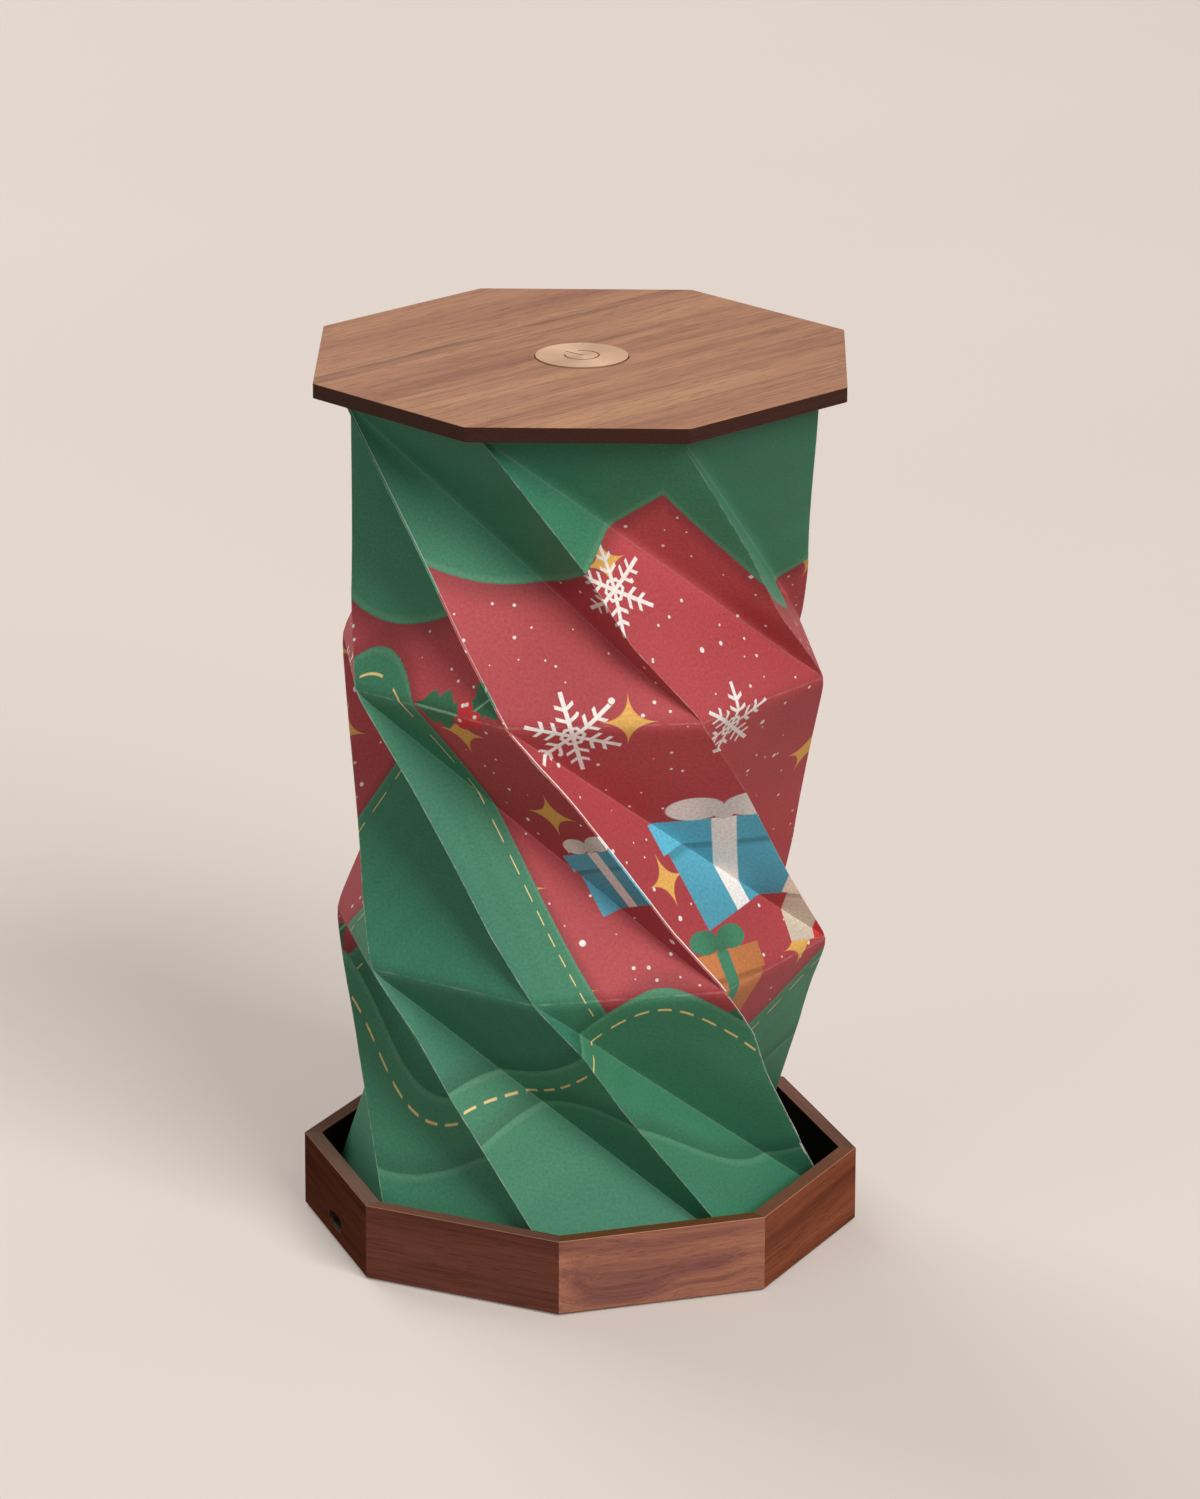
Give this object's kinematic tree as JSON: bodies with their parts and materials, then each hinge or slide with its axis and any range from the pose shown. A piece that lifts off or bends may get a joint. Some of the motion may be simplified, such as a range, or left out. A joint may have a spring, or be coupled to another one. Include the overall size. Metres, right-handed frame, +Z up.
{
  "type": "folding table lamp",
  "caption": "Folding table lamp: octagonal walnut tray, twist-folded paper shade and a walnut lid with a round metal power button; the lid twists down into the tray to close it.",
  "frame": {"origin": "on the ground, under the middle of the tray", "axes": "+Z up along the lamp's axis; the charging socket faces -X; the tray's sides face X, Y and between"},
  "size_m": [0.1296, 0.1296, 0.2092],
  "materials": {
    "walnut": "oiled",
    "walnut_lid": "oiled",
    "plywood": "satin",
    "black_card": "matte",
    "black_plastic": "matte",
    "steel": "brushed",
    "rubber": "matte",
    "circuit_board": "satin",
    "cell_pouch": "satin",
    "white_aluminium": "satin",
    "led_white": "gloss",
    "opal": "satin",
    "lead_sheath": "matte",
    "printed_paper": "matte",
    "gold_metal": "brushed"
  },
  "bodies": {
    "base": {"tray_side_front": "walnut", "tray_side_front_right": "walnut", "tray_side_right": "walnut", "tray_side_back_right": "walnut", "tray_side_back": "walnut", "tray_side_back_left": "walnut", "tray_side_left": "walnut", "tray_side_front_left": "walnut", "bottom_board": "plywood", "deck_spacers": "black_plastic", "base_screws": "steel", "rubber_feet": "rubber", "usb_socket": "steel", "usb_tongue": "black_plastic", "driver_board": "circuit_board", "driver_components": "black_plastic", "battery_pad": "rubber", "battery": "cell_pouch", "deck": "black_card", "led_board": "white_aluminium", "led_chips": "led_white", "led_screws": "steel", "diffuser": "opal", "base_lead": "lead_sheath"},
    "shade": {"paper_shade": "printed_paper", "shade_lead": "lead_sheath"},
    "lid": {"lid_plate": "walnut_lid", "button_housing": "black_plastic", "housing_screws": "steel", "switch_board": "circuit_board", "tact_switch": "black_plastic", "lid_lead": "lead_sheath"},
    "button": {"power_button": "gold_metal", "switch_plunger": "black_plastic"}
  },
  "joints": [
    {"name": "lid_twist", "type": "hinge", "parent": "base", "child": "shade", "pos_m": [0, 0, 0], "axis": [0, 0, 1], "range_deg": [-115.7, 0], "deforming": ["paper_shade", "shade_lead"]},
    {"name": "lid_drop", "type": "slide", "parent": "shade", "child": "lid", "axis": [0, 0, 1], "range_m": [-0.1868, 0], "deforming": ["paper_shade", "shade_lead"]},
    {"name": "button_press", "type": "slide", "parent": "lid", "child": "button", "axis": [0, 0, -1], "range_m": [0, 0.0005], "stiffness_N_per_m": 2000, "springref_m": -0.0003}
  ],
  "couplings": [
    {"joint": "lid_twist", "follows": "lid_drop", "rad_per_m": 10.806}
  ]
}
